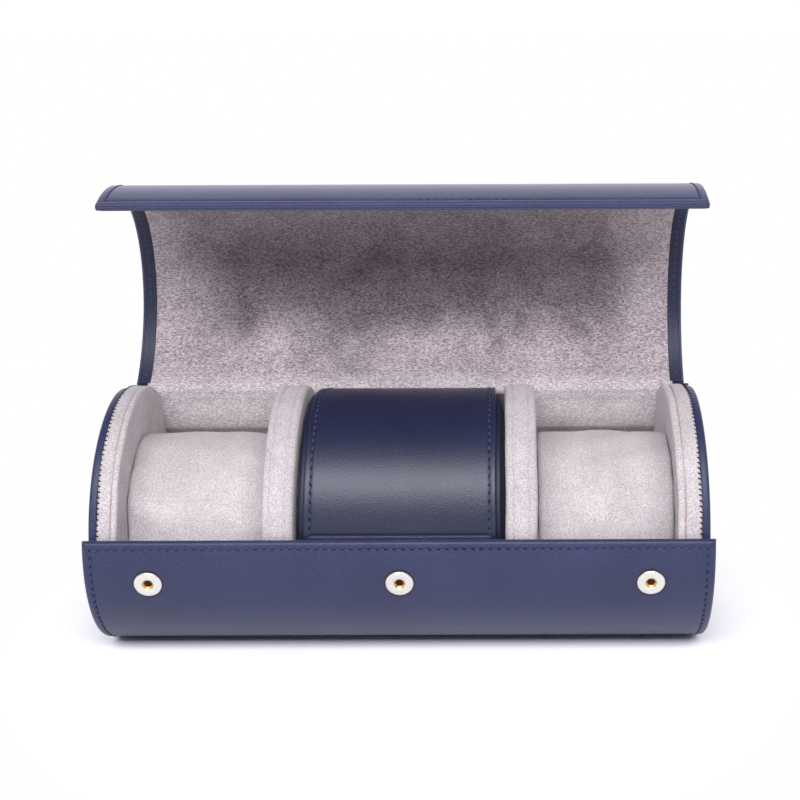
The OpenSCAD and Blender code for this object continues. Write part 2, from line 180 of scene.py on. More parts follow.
def makeFloor(s):
    # white for the camera, fading to pure white away from the case: a glow that paints out the case's shadow there, a
    # painted light; and a plain, nearly white table for all other light
    mesh = bpy.data.meshes.new("floor")
    reach = s["floorReach"]
    mesh.from_pydata([(-reach, -reach, 0), (reach, -reach, 0), (reach, reach, 0), (-reach, reach, 0)], [],
                     [(0, 1, 2, 3)])
    obj = bpy.data.objects.new("floor", mesh)
    bpy.context.scene.collection.objects.link(obj)
    obj.location.z = -0.0002
    t = Nodes(bpy.data.materials.new("whiteTable"), True)
    seen = t.add("LightPath").outputs["Is Camera Ray"]
    tone = t.blendColours(seen, (s["floorColour"],) * 3 + (1,), tuple(s["floorSeen"] * c for c in s["floorTint"]) + (1,))
    surface = t.add("BsdfDiffuse", (("Color", tone),))
    away = t.add("VectorMath", ((0, t.place),), operation="LENGTH").outputs["Value"]
    # painted light: the glow wipes out the case's shadow away from the case
    share = t.maths(t.span(away, *s["fade"]), seen, "MULTIPLY")
    both = t.add("MixShader", ((0, share), (1, surface.outputs[0]), (2, t.add("Emission").outputs[0])))
    t.add("OutputMaterial", (("Surface", both.outputs[0]),))
    mesh.materials.append(t.owner)


setStudio(studio)
makeFloor(studio)
bpy.context.scene.view_settings.view_transform = "Standard"
print("camera, light and floor ready")

# materials


def leatherFinish(name, light, dark, rough, grain=2300, depth=0.00005, sheen=0.0, gleam=0.45):
    m = Nodes(bpy.data.materials.new(name))
    drift = m.noise(28, 3, 0.5)
    pebble = m.cells(grain)
    fine = m.noise(grain * 0.8, 3, 0.7)
    tone = m.maths(m.span(drift, 0.3, 0.7, 0, 0.45), m.span(fine, 0.32, 0.68, -0.2, 0.75))
    m.put("Base Color", m.blendColours(tone, dark, light))
    m.put("Roughness", m.span(fine, 0.25, 0.75, rough - 0.05, rough + 0.08))
    m.put("Specular IOR Level", gleam)
    m.put("Sheen Weight", sheen)
    m.put("Sheen Roughness", 0.4)
    m.put("Sheen Tint", srgb(222, 218, 240))
    m.bump(m.maths(m.maths(pebble, 0.7, "MULTIPLY"), m.maths(fine, 0.6, "MULTIPLY")), 0.7, depth)
    return m.owner


def suedeFinish(name, light, mid, dark, patch=0.0, streak=(1, 1, 1), scale=2400, topShade=0.0):
    # patch: how dark the middle of the lid is made, partly rubbed nap and partly painted shade; with it, the lining low
    # on the trough wall is made lighter, a painted light. The last argument: how much darker the top is made, a painted
    # shade
    m = Nodes(bpy.data.materials.new(name))
    lay = m.stretched(streak)
    nap = m.noise(scale, 3, 0.66, lay, 0.35)
    lint = m.noise(scale * 2.1, 2, 0.6, lay)
    drift = m.noise(90, 3, 0.5)
    speck = m.maths(m.span(nap, 0.38, 0.64), m.span(lint, 0.3, 0.72, -0.3, 0.3))
    speck = m.maths(speck, m.span(drift, 0.3, 0.7, -0.12, 0.12))
    tone = m.blendColours(speck, mid, light)
    # painted shade: the colour darkens towards the top
    if topShade:
        shadeHeight = m.maths(m.axis(2), m.span(m.noise(60, 3, 0.6), 0.3, 0.7, -0.008, 0.008))
        tone = m.blendColours(m.span(shadeHeight, 0.05, 0.066, 0, topShade), tone, dark)
    # the middle of the lid made darker: partly rubbed nap, partly painted shade
    if patch:
        patchNoise = m.noise(24, 4, 0.6, None, 0.5)
        wide = m.maths(m.maths(m.axis(0), 0, "ABSOLUTE"), m.span(patchNoise, 0.3, 0.7, -0.022, 0.022))
        tall = m.maths(m.axis(2), m.span(patchNoise, 0.3, 0.7, -0.012, 0.012))
        middle = m.maths(m.span(wide, 0.07, 0.1, 1, 0), m.span(tall, 0.09, 0.11), "MULTIPLY")
        shade = m.maths(m.maths(middle, m.span(patchNoise, 0.35, 0.65, 0.72, 1.0), "MULTIPLY"),
                       m.span(m.axis(2), 0.125, 0.16, patch, patch * 0.68), "MULTIPLY")
        tone = m.blendColours(shade, tone, m.blendColours(speck, dark, mid))
        # painted light: the lining low on the trough wall, behind the cushions, is made lighter
        paintedLightTone = m.blendColours(speck, srgb(194, 182, 189), srgb(255, 249, 252))
        tone = m.blendColours(m.span(m.axis(2), 0.077, 0.09, 1, 0), tone, paintedLightTone)
    m.put("Base Color", tone)
    m.put("Roughness", 0.92)
    m.put("Specular IOR Level", 0.15)
    m.put("Sheen Weight", 0.25)
    m.put("Sheen Roughness", 0.5)
    m.bump(m.maths(nap, m.maths(lint, 0.5, "MULTIPLY")), 0.8, 0.00022)
    return m.owner


def plainFinish(name, colour, rough, metallic=0.0, noiseScale=900, amount=0.06, bump=0.0):
    m = Nodes(bpy.data.materials.new(name))
    fine = m.noise(noiseScale, 2, 0.5)
    paler = tuple(min(1, c * 1.25) for c in colour[:3]) + (1,)
    m.put("Base Color", m.blendColours(m.span(fine, 0.3, 0.7), colour, paler))
    m.put("Metallic", metallic)
    m.put("Roughness", m.span(fine, 0.3, 0.7, rough - amount / 2, rough + amount / 2))
    if bump:
        m.bump(fine, 0.4, bump)
    return m.owner


navy = leatherFinish("navyLeather", srgb(56, 62, 101), srgb(38, 43, 77), 0.44, 2300, 0.00013, 0.26)
# a lighter copy of the navy leather, with more sheen: its lighter colour is painted light on the lid's top and edge
navyLidLit = leatherFinish("navyLidLeather", srgb(61, 67, 107), srgb(42, 47, 82), 0.44, 2300, 0.00013, 0.9)
# a darker, glossier copy of the navy leather: its darker colour is painted shade on the flap under the lid
navyFlapShaded = leatherFinish("navyFlapLeather", srgb(39, 44, 76), srgb(24, 28, 56), 0.37, 2300, 0.00013, 0, 0.6)
# a darker copy of the navy leather, for the drum, its ears and ends and the lid's facings: painted shade
navyShaded = leatherFinish("navyLeatherDeep", srgb(30, 35, 66), srgb(22, 26, 54), 0.5)
# the lining's suede: the middle of the lid made darker, partly rubbed nap and partly painted shade, and the lining low
# on the trough wall made lighter, a painted light
suedeLining = suedeFinish("suedeLining", srgb(210, 198, 206), srgb(128, 116, 124), srgb(68, 59, 64), 0.92,
                          (0.5, 1.2, 1.2), 1750)
suedePad = suedeFinish("suedePad", srgb(236, 229, 234), srgb(172, 161, 168), srgb(150, 138, 144), 0, (1, 1, 1), 2600)
# the cushions' suede, with painted shade darkening their tops
suedeCushion = suedeFinish("suedeCushion", srgb(250, 245, 248), srgb(196, 187, 193), srgb(120, 106, 113), 0, (1, 1, 1),
                           2300, 0.26)
threadBlue = plainFinish("blueThread", srgb(54, 68, 122), 0.55, 0, 4000, 0.1, 0.00004)
threadTan = plainFinish("tanThread", srgb(176, 150, 152), 0.8, 0, 3000, 0.1, 0.00004)
# near black: painted shade inside the needle holes, and the thread of the dark whip stitches
holeShadeAndWhipThread = plainFinish("needleHole", srgb(10, 12, 32), 0.85)
deepShade = plainFinish("deepShade", srgb(10, 11, 22), 0.9)
nickel = plainFinish("nickel", srgb(244, 238, 236), 0.3, 0.8, 2600, 0.12, 0.00001)
brassGold = plainFinish("brass", srgb(226, 172, 96), 0.28, 0.72, 1500, 0.1)
# dark red brown: painted shadow round each stud and painted shade at the bottom of its hole
ringShadow = plainFinish("studSeat", srgb(58, 32, 38), 0.8)
print("materials ready")

# shared shapes, all in millimetres; angles are in degrees round the barrel, from the back over the top to the front
# skew: how far the lid leans to the right at its hinge and at its free edge
barrel = {"radius": 47.6, "axisZ": 47.0, "roomR": 44.6, "half": 110.0, "frontTop": 51.2, "hingeA": 51.0, "openA": 97.0,
          "lidHalf": 108.1, "skew": (0.0, 1.2)}
hingeTurn = math.radians(barrel["hingeA"])
barrel["hinge"] = (barrel["radius"] * math.cos(hingeTurn), barrel["axisZ"] + barrel["radius"] * math.sin(hingeTurn))
edgeR = (barrel["radius"] - barrel["roomR"]) / 2
barrel["frontA"] = 180 - math.degrees(math.asin((barrel["frontTop"] - edgeR - barrel["axisZ"]) / (barrel["radius"] - edgeR)))
axisPoint = (0, barrel["axisZ"])
bothSides = (("left", -1), ("right", 1))


def link(name, verts, faces, material, smooth=True):
    # verts in millimetres
    mesh = bpy.data.meshes.new(name)
    mesh.from_pydata([tuple(c * mm for c in v) for v in verts], [], faces)
    mesh.materials.append(material)
    if smooth:
        mesh.polygons.foreach_set("use_smooth", [True] * len(mesh.polygons))
    mesh.update()
    obj = bpy.data.objects.new(name, mesh)
    bpy.context.scene.collection.objects.link(obj)
    return obj


def arcAngle(length, radius):
    return math.degrees(length / radius)


def polar(angle):
    return math.cos(math.radians(angle)), math.sin(math.radians(angle))


def around(radius, angle, centre=axisPoint):
    across, up = polar(angle)
    return centre[0] + radius * across, centre[1] + radius * up


def waver(x, s, size, seed):
    # slow unevenness of hand work: a sum of a few sines
    rng = np.random.default_rng(seed)
    total = np.zeros(np.broadcast(x, s).shape)
    for _ in range(5):
        fx, fs, phase = rng.uniform(0.015, 0.07), rng.uniform(0.02, 0.08), rng.uniform(0, 6.28)
        total = total + np.sin(fx * x + fs * s + phase)
    return total * size / 5


def edgeRun(low, high, rho, marks, step, roundLow=True, roundHigh=True, turns=5):
    # positions from low to high with how far the surface drops at each, and extra positions near the edges
    places = []
    if roundLow:
        for k in range(turns + 1):
            a = math.radians(90 - 90 * k / turns)
            places.append((low + rho - rho * math.sin(a), rho * (1 - math.cos(a))))
    else:
        places.append((low, 0))
    start, stop = places[-1][0], (high - rho if roundHigh else high)
    inner = set()
    for mark in marks:
        if roundLow and start + 0.2 < low + mark < stop:
            inner.add(round(low + mark, 4))
        if roundHigh and start < high - mark < stop - 0.2:
            inner.add(round(high - mark, 4))
    count = max(2, int((stop - start) / step))
    clear = max(marks) if marks else 0
    for k in range(1, count):
        p = start + (stop - start) * k / count
        if (not roundLow or p > low + clear + step * 0.3) and (not roundHigh or p < high - clear - step * 0.3):
            inner.add(round(p, 4))
    places += [(p, 0) for p in sorted(inner)]
    if roundHigh:
        for k in range(turns + 1):
            a = math.radians(90 * k / turns)
            places.append((high - rho + rho * math.sin(a), rho * (1 - math.cos(a))))
    else:
        places.append((high, 0))
    return places


# how far from an edge a stitched sheet gets extra points, for its pressed line
edgeMarks = [1.0, 1.5, 1.9, 2.2, 2.5, 2.8, 3.1, 3.5, 4.1, 5.0, 6.5]


def sheetFaces(n, m):
    # both sides of a sheet of n by m points, where the second side's points follow the first's
    faces, off = [], n * m
    for i in range(n - 1):
        for j in range(m - 1):
            a, b, c, d = i * m + j, i * m + j + 1, (i + 1) * m + j + 1, (i + 1) * m + j
            faces += [(a, b, c, d), (off + d, off + c, off + b, off + a)]
    return faces


def bentSheet(name, material, centre, inner, outer, arc, width, rho, stitch=None, roundStart=True, roundEnd=True,
              groove=0.16, puff=0.1, unevenness=0.06, seed=1, place=None, floorZ=None, step=(3.0, 6.0), clip=None, walls=()):
    # leather or cloth bent on an arc round the X direction: rounded edges, and a pressed line where it is stitched
    # arc: first and last angle. width: half its length along X. rho: how round its edges are. stitch: how far in its
    # pressed line runs. clip: what trims its corners. place: what turns a finished point to its rest pose
    # walls: how deep the cut edge lies in at shares of its height, from the outer face down
    length = (arc[1] - arc[0]) / (180 / math.pi / outer)
    marks = edgeMarks if stitch else [1, 2]
    rows = edgeRun(0, length, rho, marks, step[0], roundStart, roundEnd)
    cols = edgeRun(-width, width, rho, marks, step[1])
    half = (outer - inner) / 2
    s = np.array([p for p, _ in rows])[:, None]
    x = np.array([p for p, _ in cols])[None, :]
    drop = np.minimum(np.array([d for _, d in rows])[:, None] + np.array([d for _, d in cols])[None, :], half - 0.02)
    relief = waver(x, s, unevenness, seed)
    if stitch:
        gaps = [width - np.abs(x) + 0 * s]
        if roundStart:
            gaps.append(s + 0 * x)
        if roundEnd:
            gaps.append(length - s + 0 * x)
        e = np.minimum.reduce(gaps)
        relief = relief - groove * np.exp(-((e - stitch) / 0.62) ** 2)
        relief = relief + puff * np.clip(e / (stitch * 0.6), 0, 1) * np.clip((stitch - e) / (stitch * 0.5), 0, 1)
    fade = 1 - np.clip(drop / half, 0, 1)
    top = outer - drop + relief * fade
    under = inner + drop + 0 * relief
    angle = np.radians(arc[0]) + s / outer + 0 * x
    if roundStart:
        angle = np.maximum(angle, np.radians(arc[0]))
    n, m = top.shape
    xs = x + 0 * s
    border = [(0, j) for j in range(m)] + [(i, m - 1) for i in range(1, n)]
    border += [(n - 1, j) for j in range(m - 2, -1, -1)] + [(i, 0) for i in range(n - 2, 0, -1)]
    rows = np.array([i for i, _ in border])
    lines = np.array([j for _, j in border])
    flat = [(grid, angle, xs) for grid in (top, under)]
    for share, depth in walls:
        grid = top[rows, lines] * (1 - share) + under[rows, lines] * share
        ring = angle[rows, lines] + ((rows == 0) * 1.0 - (rows == n - 1) * 1.0) * depth / outer
        flat.append((grid, ring, xs[rows, lines] * (1 - (np.isin(lines, (0, m - 1))) * depth / width)))
    verts = []
    for grid, turn, across in flat:
        verts.append(np.stack([across, centre[0] + grid * np.cos(turn), centre[1] + grid * np.sin(turn)],
                              axis=-1).reshape(-1, 3))
    verts = np.concatenate(verts)
    if clip:
        verts = clip(verts)
    if place:
        verts = place(verts)
    if floorZ is not None:
        verts[:, 2] = np.maximum(verts[:, 2], floorZ)
    faces, off = sheetFaces(n, m), n * m
    loops = [[i * m + j for i, j in border]]
    loops += [[2 * off + k * len(border) + b for b in range(len(border))] for k in range(len(walls))]
    loops.append([off + i * m + j for i, j in border])
    for first, second in zip(loops, loops[1:]):
        for k in range(len(border)):
            e = (k + 1) % len(border)
            faces.append((first[k], second[k], second[e], first[e]))
    return tidyMesh(link(name, verts.tolist(), faces, material))


def opened(verts):
    # from where the lid is when it is closed to where the photograph has it, where its free edge leans to the right
    hy, hz = barrel["hinge"]
    along = np.degrees(np.arctan2(verts[:, 2] - hz + 38, verts[:, 1] - hy + 31.5)) % 360
    lean = np.clip((along - 50) / 160, 0, 1)
    a = math.radians(-barrel["openA"])
    y, z = verts[:, 1] - hy, verts[:, 2] - hz
    out = verts.copy()
    out[:, 0] = verts[:, 0] + barrel["skew"][0] + (barrel["skew"][1] - barrel["skew"][0]) * lean
    out[:, 1] = hy + y * math.cos(a) - z * math.sin(a)
    out[:, 2] = hz + y * math.sin(a) + z * math.cos(a)
    return out


def stitchRow(name, points, normals, body, thread=None, pitch=3.0, slant=9.0, size=0.25, holes=True, place=None,
              lengthShare=0.7, lift=0.24, blendTo=None):
    # points: a dense line on the leather, in millimetres; one arched thread with a needle hole at each end per stitch
    points, normals = np.array(points, float), np.array(normals, float)
    if place is not None:
        ends = place(points + normals)
        points = place(points)
        normals = ends - points
    gone = np.concatenate([[0], np.cumsum(np.linalg.norm(np.diff(points, axis=0), axis=1))])
    count = max(1, int(round(gone[-1] / pitch)))
    real = gone[-1] / count
    verts, faces, slots = [], [], []
    sides, rings = 6, 7

    def at(d):
        d = min(max(d, 0), gone[-1])
        p = np.array([np.interp(d, gone, points[:, k]) for k in range(3)])
        q = np.array([np.interp(d, gone, normals[:, k]) for k in range(3)])
        ahead = np.array([np.interp(min(d + 0.5, gone[-1]), gone, points[:, k]) for k in range(3)])
        behind = np.array([np.interp(max(d - 0.5, 0), gone, points[:, k]) for k in range(3)])
        t = ahead - behind
        t /= np.linalg.norm(t)
        q = q - t * np.dot(q, t)
        q /= np.linalg.norm(q)
        return p, t, q

    for k in range(count):
        p, t, q = at((k + 0.5) * real)
        side = np.cross(q, t)
        lean = math.radians(slant + random.uniform(-3.5, 3.5))
        along = t * math.cos(lean) + side * math.sin(lean)
        across = np.cross(q, along)
        shift = side * random.uniform(-0.06, 0.06)
        long = real * lengthShare * random.uniform(0.94, 1.04)
        base = len(verts)
        for r in range(rings):
            u = -1 + 2 * r / (rings - 1)
            wide = size * math.sqrt(max(0.12, 1 - 0.75 * u * u))
            high = lift * (1 - u * u) - 0.2 * u ** 4
            for w in range(sides):
                b = 2 * math.pi * w / sides
                verts.append(p + shift + along * (u * long / 2) + q * (high + wide * 0.8 * math.sin(b))
                             + across * (wide * math.cos(b)))
        for r in range(rings - 1):
            for w in range(sides):
                a, b = base + r * sides + w, base + r * sides + (w + 1) % sides
                faces.append((a, b, b + sides, a + sides))
                slots.append(0)
        faces.append(tuple(base + w for w in range(sides))[::-1])
        faces.append(tuple(base + (rings - 1) * sides + w for w in range(sides)))
        slots += [0, 0]
        if holes:
            # each needle hole: a near black disc, sunk a little, painted shade inside the hole
            for end in (-1, 1):
                mid = p + shift + along * (end * (long / 2 + 0.12)) + q * 0.05
                base = len(verts)
                for w in range(8):
                    b = 2 * math.pi * w / 8
                    verts.append(mid + along * 0.55 * math.cos(b) + across * 0.42 * math.sin(b))
                verts.append(mid - q * 0.14)
                for w in range(8):
                    faces.append((base + w, base + (w + 1) % 8, base + 8))
                    slots.append(1)
    verts = [(v[0], v[1], max(v[2], 0.02)) for v in verts]
    obj = link(name, verts, faces, thread or threadBlue)
    obj.data.materials.append(holeShadeAndWhipThread)
    obj.data.polygons.foreach_set("material_index", slots)
    if not blendTo:
        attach(obj, body)
    return obj


def revolve(name, profile, material, place, count=128, uneven=0.0, seed=1, pucker=None):
    # profile: (distance along X, radius) pairs; turned about the barrel's axis, or moved by place(points)
    prof = np.array(profile, float)
    turn = np.arange(count) * 2 * math.pi / count
    verts = np.zeros((len(prof), count, 3))
    radius = prof[:, 1][:, None] + 0 * turn[None, :]
    along = prof[:, 0][:, None] + 0 * turn[None, :]
    if uneven:
        rng = np.random.default_rng(seed)
        for _ in range(7):
            k, ph, fx = rng.integers(2, 13), rng.uniform(0, 6.28), rng.uniform(0.05, 0.4)
            radius = radius + uneven / 3 * np.sin(k * turn[None, :] + ph + fx * along) * np.clip(radius / 10, 0, 1)
            along = along + uneven / 4 * np.sin(k * turn[None, :] + ph * 2 + radius * 0.15) * np.clip(radius / 10, 0, 1)
    if pucker:
        radius = radius + pucker(prof[:, 0][:, None], prof[:, 1][:, None], turn[None, :])
    verts[:, :, 0] = along
    verts[:, :, 1] = radius * np.cos(turn)[None, :]
    verts[:, :, 2] = radius * np.sin(turn)[None, :]
    flat = place(verts.reshape(-1, 3))
    faces = []
    n = len(prof)
    closed = prof[0, 1] < 0.001 or prof[-1, 1] < 0.001
    for i in range(n - 1):
        for j in range(count):
            a, b = i * count + j, i * count + (j + 1) % count
            faces.append((a, b, b + count, a + count))
    verts = [tuple(v) for v in flat]
    if prof[0, 1] < 0.001:
        hub = flat[:count].mean(axis=0)
        verts.append(tuple(hub))
        faces = faces[count:] + [(len(verts) - 1, count + (j + 1) % count, count + j) for j in range(count)]
    if prof[-1, 1] < 0.001:
        hub = flat[(n - 1) * count:].mean(axis=0)
        verts.append(tuple(hub))
        last = (n - 2) * count
        drop = set((n - 2) * count + j for j in range(count))
        faces = [f for f in faces if not (len(f) == 4 and f[0] in drop and f[3] >= (n - 1) * count)]
        faces += [(len(verts) - 1, last + j, last + (j + 1) % count) for j in range(count)]
    if not closed:
        faces += [((n - 1) * count + j, (n - 1) * count + (j + 1) % count, (j + 1) % count, j) for j in range(count)]
    return tidyMesh(link(name, verts, faces, material))


def tidyMesh(obj):
    # drops loose points and turns every face outward
    bm = bmesh.new()
    bm.from_mesh(obj.data)
    loose = [v for v in bm.verts if not v.link_faces]
    bmesh.ops.delete(bm, geom=loose, context="VERTS")
    bmesh.ops.recalc_face_normals(bm, faces=bm.faces)
    bm.to_mesh(obj.data)
    bm.free()
    obj.data.update()
    return obj


def sideways(shift, after=None):
    # what moves points along X, and through another move after that
    def move(verts):
        out = verts.copy()
        out[:, 0] += shift
        return after(out) if after else out
    return move


def toAxis(flip=1, centreX=0.0):
    # what moves a shape turned about X on to the barrel's axis, on the right or mirrored on the left
    def move(verts):
        out = verts.copy()
        out[:, 0] = flip * (verts[:, 0] + centreX)
        out[:, 2] = verts[:, 2] + barrel["axisZ"]
        return out
    return move


def roundTurn(centreX, centreR, radius, start, end, steps=6):
    # points of an arc in a revolved profile
    return [around(radius, start + (end - start) * k / steps, (centreX, centreR)) for k in range(steps + 1)]


# wrap: front panel, bottom and back
wrap = {"inner": 44.62, "rho": 1.45, "stitchIn": 2.9, "sunk": 0.14, "seed": 3}

wrapArc = (barrel["frontA"] - 360 - arcAngle(edgeR, barrel["radius"]), barrel["hingeA"] - 0.2)
wrapPiece = bentSheet("wrapLeather", navy, axisPoint, wrap["inner"], barrel["radius"], wrapArc, barrel["half"], wrap["rho"],
                      wrap["stitchIn"], True, False, seed=wrap["seed"], floorZ=0.0, groove=0.18, puff=0.08)

stud = {"diameter": 9.8, "hole": 4.0, "petals": 6, "places": (("left", -87.6), ("middle", 0), ("right", 87.6)), "height": 35.4,
        "bore": [(2.35, -2.3), (2.35, 1.5)]}
studA = 180 + math.degrees(math.asin((barrel["axisZ"] - stud["height"]) / barrel["radius"]))


def onStud(x):
    # turns a shape made round Z so that it stands on the front panel at a stud
    normal = Vector((0, *polar(studA)))
    across = Vector((1, 0, 0))
    up = normal.cross(across)
    base = Vector((x, 0, barrel["axisZ"])) + normal * barrel["radius"]

    def move(verts):
        m = np.array([list(across), list(up), list(normal)])
        return verts @ m + np.array(list(base))
    return move


def turned(name, profile, material, move, count=64, wave=None):
    # profile: (radius, height) pairs round Z
    prof = np.array(profile, float)
    turn = np.arange(count) * 2 * math.pi / count
    radius = prof[:, 0][:, None] * np.ones(count)
    height = prof[:, 1][:, None] * np.ones(count)
    if wave:
        radius, height = wave(radius, height, turn[None, :])
    verts = np.stack([radius * np.cos(turn), radius * np.sin(turn), height], axis=-1).reshape(-1, 3)
    n = len(prof)
    faces = [(i * count + j, i * count + (j + 1) % count, (i + 1) * count + (j + 1) % count, (i + 1) * count + j)
             for i in range(n - 1) for j in range(count)]
    faces += [tuple(range(count))[::-1], tuple((n - 1) * count + j for j in range(count))]
    return tidyMesh(link(name, [tuple(v) for v in move(verts)], faces, material))


def bore(obj, cutters):
    # cuts the cutters out of a piece and takes them away
    for cutter in cutters:
        cut = obj.modifiers.new("bore", "BOOLEAN")
        cut.operation = "DIFFERENCE"
        cut.object = cutter
    bpy.context.view_layer.update()
    solid = bpy.data.meshes.new_from_object(obj.evaluated_get(bpy.context.evaluated_depsgraph_get()))
    obj.modifiers.clear()
    obj.data = solid
    for cutter in cutters:
        bpy.data.objects.remove(cutter)


bore(wrapPiece, [turned("boreTool", stud["bore"], ringShadow, onStud(x), 48) for _, x in stud["places"]])
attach(wrapPiece, "base")
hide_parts("base_leather", "bottom_leather", "base_board")


def arcLine(radius, start, end, x, centre=axisPoint, step=1.0):
    # points on an arc round the barrel, with the way out at each
    n = max(2, int(abs(end - start) / step))
    pts, nrm = [], []
    for k in range(n + 1):
        a = start + (end - start) * k / n
        pts.append((x, *around(radius, a, centre)))
        nrm.append((0, *polar(a)))
    return pts, nrm


def levelLine(radius, angle, x0, x1, centre=axisPoint, step=3.0):
    # points along the barrel, with the way out at each
    n = max(2, int(abs(x1 - x0) / step))
    pts = [(x0 + (x1 - x0) * k / n, *around(radius, angle, centre)) for k in range(n + 1)]
    return pts, [(0, *polar(angle))] * (n + 1)


rowIn = wrap["stitchIn"]
rowR = barrel["radius"] - wrap["sunk"]
rowA = wrapArc[0] + arcAngle(rowIn, barrel["radius"])
stitchRow("frontStitches", *levelLine(rowR, rowA, -barrel["half"] + rowIn, barrel["half"] - rowIn), "base")
for side, sx in bothSides:
    stitchRow(side + "WrapStitches", *arcLine(rowR, rowA, wrapArc[1] - 3, sx * (barrel["half"] - rowIn)), "base",
              slant=4 * sx)
print("wrap ready")

# suede lining, from the front over the trough and up the lid
# lidDy, lidDz: how far the closed lid's centre lies in front of the barrel's and below it
lining = {"room": 44.3, "thick": 0.5, "inset": 1.5, "lidInset": 4.6, "lidDy": 1.5, "lidDz": 1.05}
lidCentre = (-lining["lidDy"], barrel["axisZ"] - lining["lidDz"])
hy, hz = barrel["hinge"]
lidR = math.hypot(hy - lidCentre[0], hz - lidCentre[1])
lidStart = math.degrees(math.atan2(hz - lidCentre[1], hy - lidCentre[0]))
studPlace = around(barrel["radius"], studA)
lidStudA = math.degrees(math.atan2(studPlace[1] - lidCentre[1], studPlace[0] - lidCentre[0])) % 360
lidEnd = lidStudA + arcAngle(14, lidR)   # how far the lid reaches past the studs
lipA = lidEnd - arcAngle(37, lidR)   # where the lip folds out
lidInner = lidR - 2.6


def sweptCloth(name, material, line, widths, thick, unevenness, seed, step=5.0):
    # line: (y, z, outward y, outward z) along the cloth; widths: its half length along X at each point
    n = len(line)
    cols = max(4, int(2 * max(widths) / step))
    rho = thick / 2
    share = np.concatenate([[-1], -1 + 0.004 * np.arange(1, 4), np.linspace(-0.97, 0.97, cols),
                            1 - 0.004 * np.arange(3, 0, -1), [1]])
    m = len(share)
    line = np.array(line, float)
    widths = np.array(widths, float)
    x = share[None, :] * widths[:, None]
    gone = np.concatenate([[0], np.cumsum(np.linalg.norm(np.diff(line[:, :2], axis=0), axis=1))])[:, None]
    relief = waver(x, gone, unevenness, seed)
    verts = []
    for level in (relief, relief * 0 - thick):
        y = line[:, 0][:, None] + line[:, 2][:, None] * level
        z = line[:, 1][:, None] + line[:, 3][:, None] * level
        verts.append(np.stack([x, y, z], axis=-1).reshape(-1, 3))
    verts = np.concatenate(verts)
    faces, off = sheetFaces(n, m), n * m
    for i in range(n - 1):
        a, d = i * m, (i + 1) * m
        faces.append((off + a, a, d, off + d))
        a, d = i * m + m - 1, (i + 1) * m + m - 1
        faces.append((a, off + a, off + d, d))
    for j in range(m - 1):
        faces.append((off + j, off + j + 1, j + 1, j))
        a = (n - 1) * m + j
        faces.append((a, a + 1, off + a + 1, off + a))
    return tidyMesh(link(name, verts.tolist(), faces, material))


def liningLine():
    # round the trough, over the hinge in one smooth curve and up the lid
    line, widths = [], []
    troughW, lidW = barrel["half"] - lining["inset"], barrel["lidHalf"] - lining["lidInset"]
    a0, a1 = barrel["frontA"] - 360 + 1.5, barrel["hingeA"] - 1.6
    troughSteps, lidSteps = 90, 70
    for k in range(troughSteps + 1):
        a = a0 + (a1 - a0) * k / troughSteps
        line.append((*around(lining["room"], a), *(-c for c in polar(a))))
        widths.append(troughW + (lidW - troughW) * min(1, max(0, (a - 22) / 20)))
    start, stop = lidStart + 2.6, lipA - 4
    pts = []
    for k in range(lidSteps + 1):
        a = start + (stop - start) * k / lidSteps
        pts.append((0, *around(lidInner - 0.25, a, lidCentre), *(-c for c in polar(a))))
    p = opened(np.array([q[:3] for q in pts]))
    q = opened(np.array([[0, t[1] + t[3], t[2] + t[4]] for t in pts]))
    first = line[-1]
    second = (p[0][1], p[0][2], q[0][1] - p[0][1], q[0][2] - p[0][2])
    step = np.array(second[:2]) - np.array(first[:2])
    t0, t1 = np.array([-first[3], first[2]]), np.array([-second[3], second[2]])   # along the cloth at both ends
    t0 = t0 if np.dot(t0, step) > 0 else -t0
    t1 = t1 if np.dot(t1, step) > 0 else -t1
    span = np.linalg.norm(step)
    for k in range(1, 10):
        u = k / 10
        h00, h10, h01, h11 = 2 * u**3 - 3 * u**2 + 1, u**3 - 2 * u**2 + u, -2 * u**3 + 3 * u**2, u**3 - u**2
        c = h00 * np.array(first[:2]) + h10 * span * t0 + h01 * np.array(second[:2]) + h11 * span * t1
        c = c - np.array([0.9 * math.sin(math.pi * u), 0])
        nrm = np.array(first[2:]) * (1 - u) + np.array(second[2:]) * u
        nrm /= np.linalg.norm(nrm)
        line.append((c[0], c[1], nrm[0], nrm[1]))
        widths.append(lidW)
    for a, b in zip(p, q):
        line.append((a[1], a[2], b[1] - a[1], b[2] - a[2]))
        widths.append(lidW)
    return line, widths


liningPts, liningW = liningLine()
liningPiece = sweptCloth("suedeLining", suedeLining, liningPts, liningW, lining["thick"], 0.1, 11, 2.5)
# the lining stands off the wrap in front of the hinge, between the discs
slack = {"angles": (10, 14, 18, 21, 30, 37.5, 45, 48, 51), "depths": (0, 0.4, 1.5, 3.3, 6.0, 5.2, 3.0, 1.7, 0.6),
         "reach": (41.0, 47.0, 98.6, 101.5), "top": 0.0835}
for vertex in liningPiece.data.vertices:
    y, z = vertex.co.y / mm, vertex.co.z / mm - barrel["axisZ"]
    angle, reach = math.degrees(math.atan2(z, y)), abs(vertex.co.x / mm)
    if z > 0 and angle < slack["angles"][-1] and vertex.co.z < slack["top"]:
        give = np.interp(angle, slack["angles"], slack["depths"]) * np.interp(reach, slack["reach"], (0, 1, 1, 0))
        share = 1 - give / math.hypot(y, z)
        vertex.co.y, vertex.co.z = y * share * mm, (z * share + barrel["axisZ"]) * mm
liningPiece.data.update()
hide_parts("base_lining", "lid_lining")
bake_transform(liningPiece)
print("lining ready")

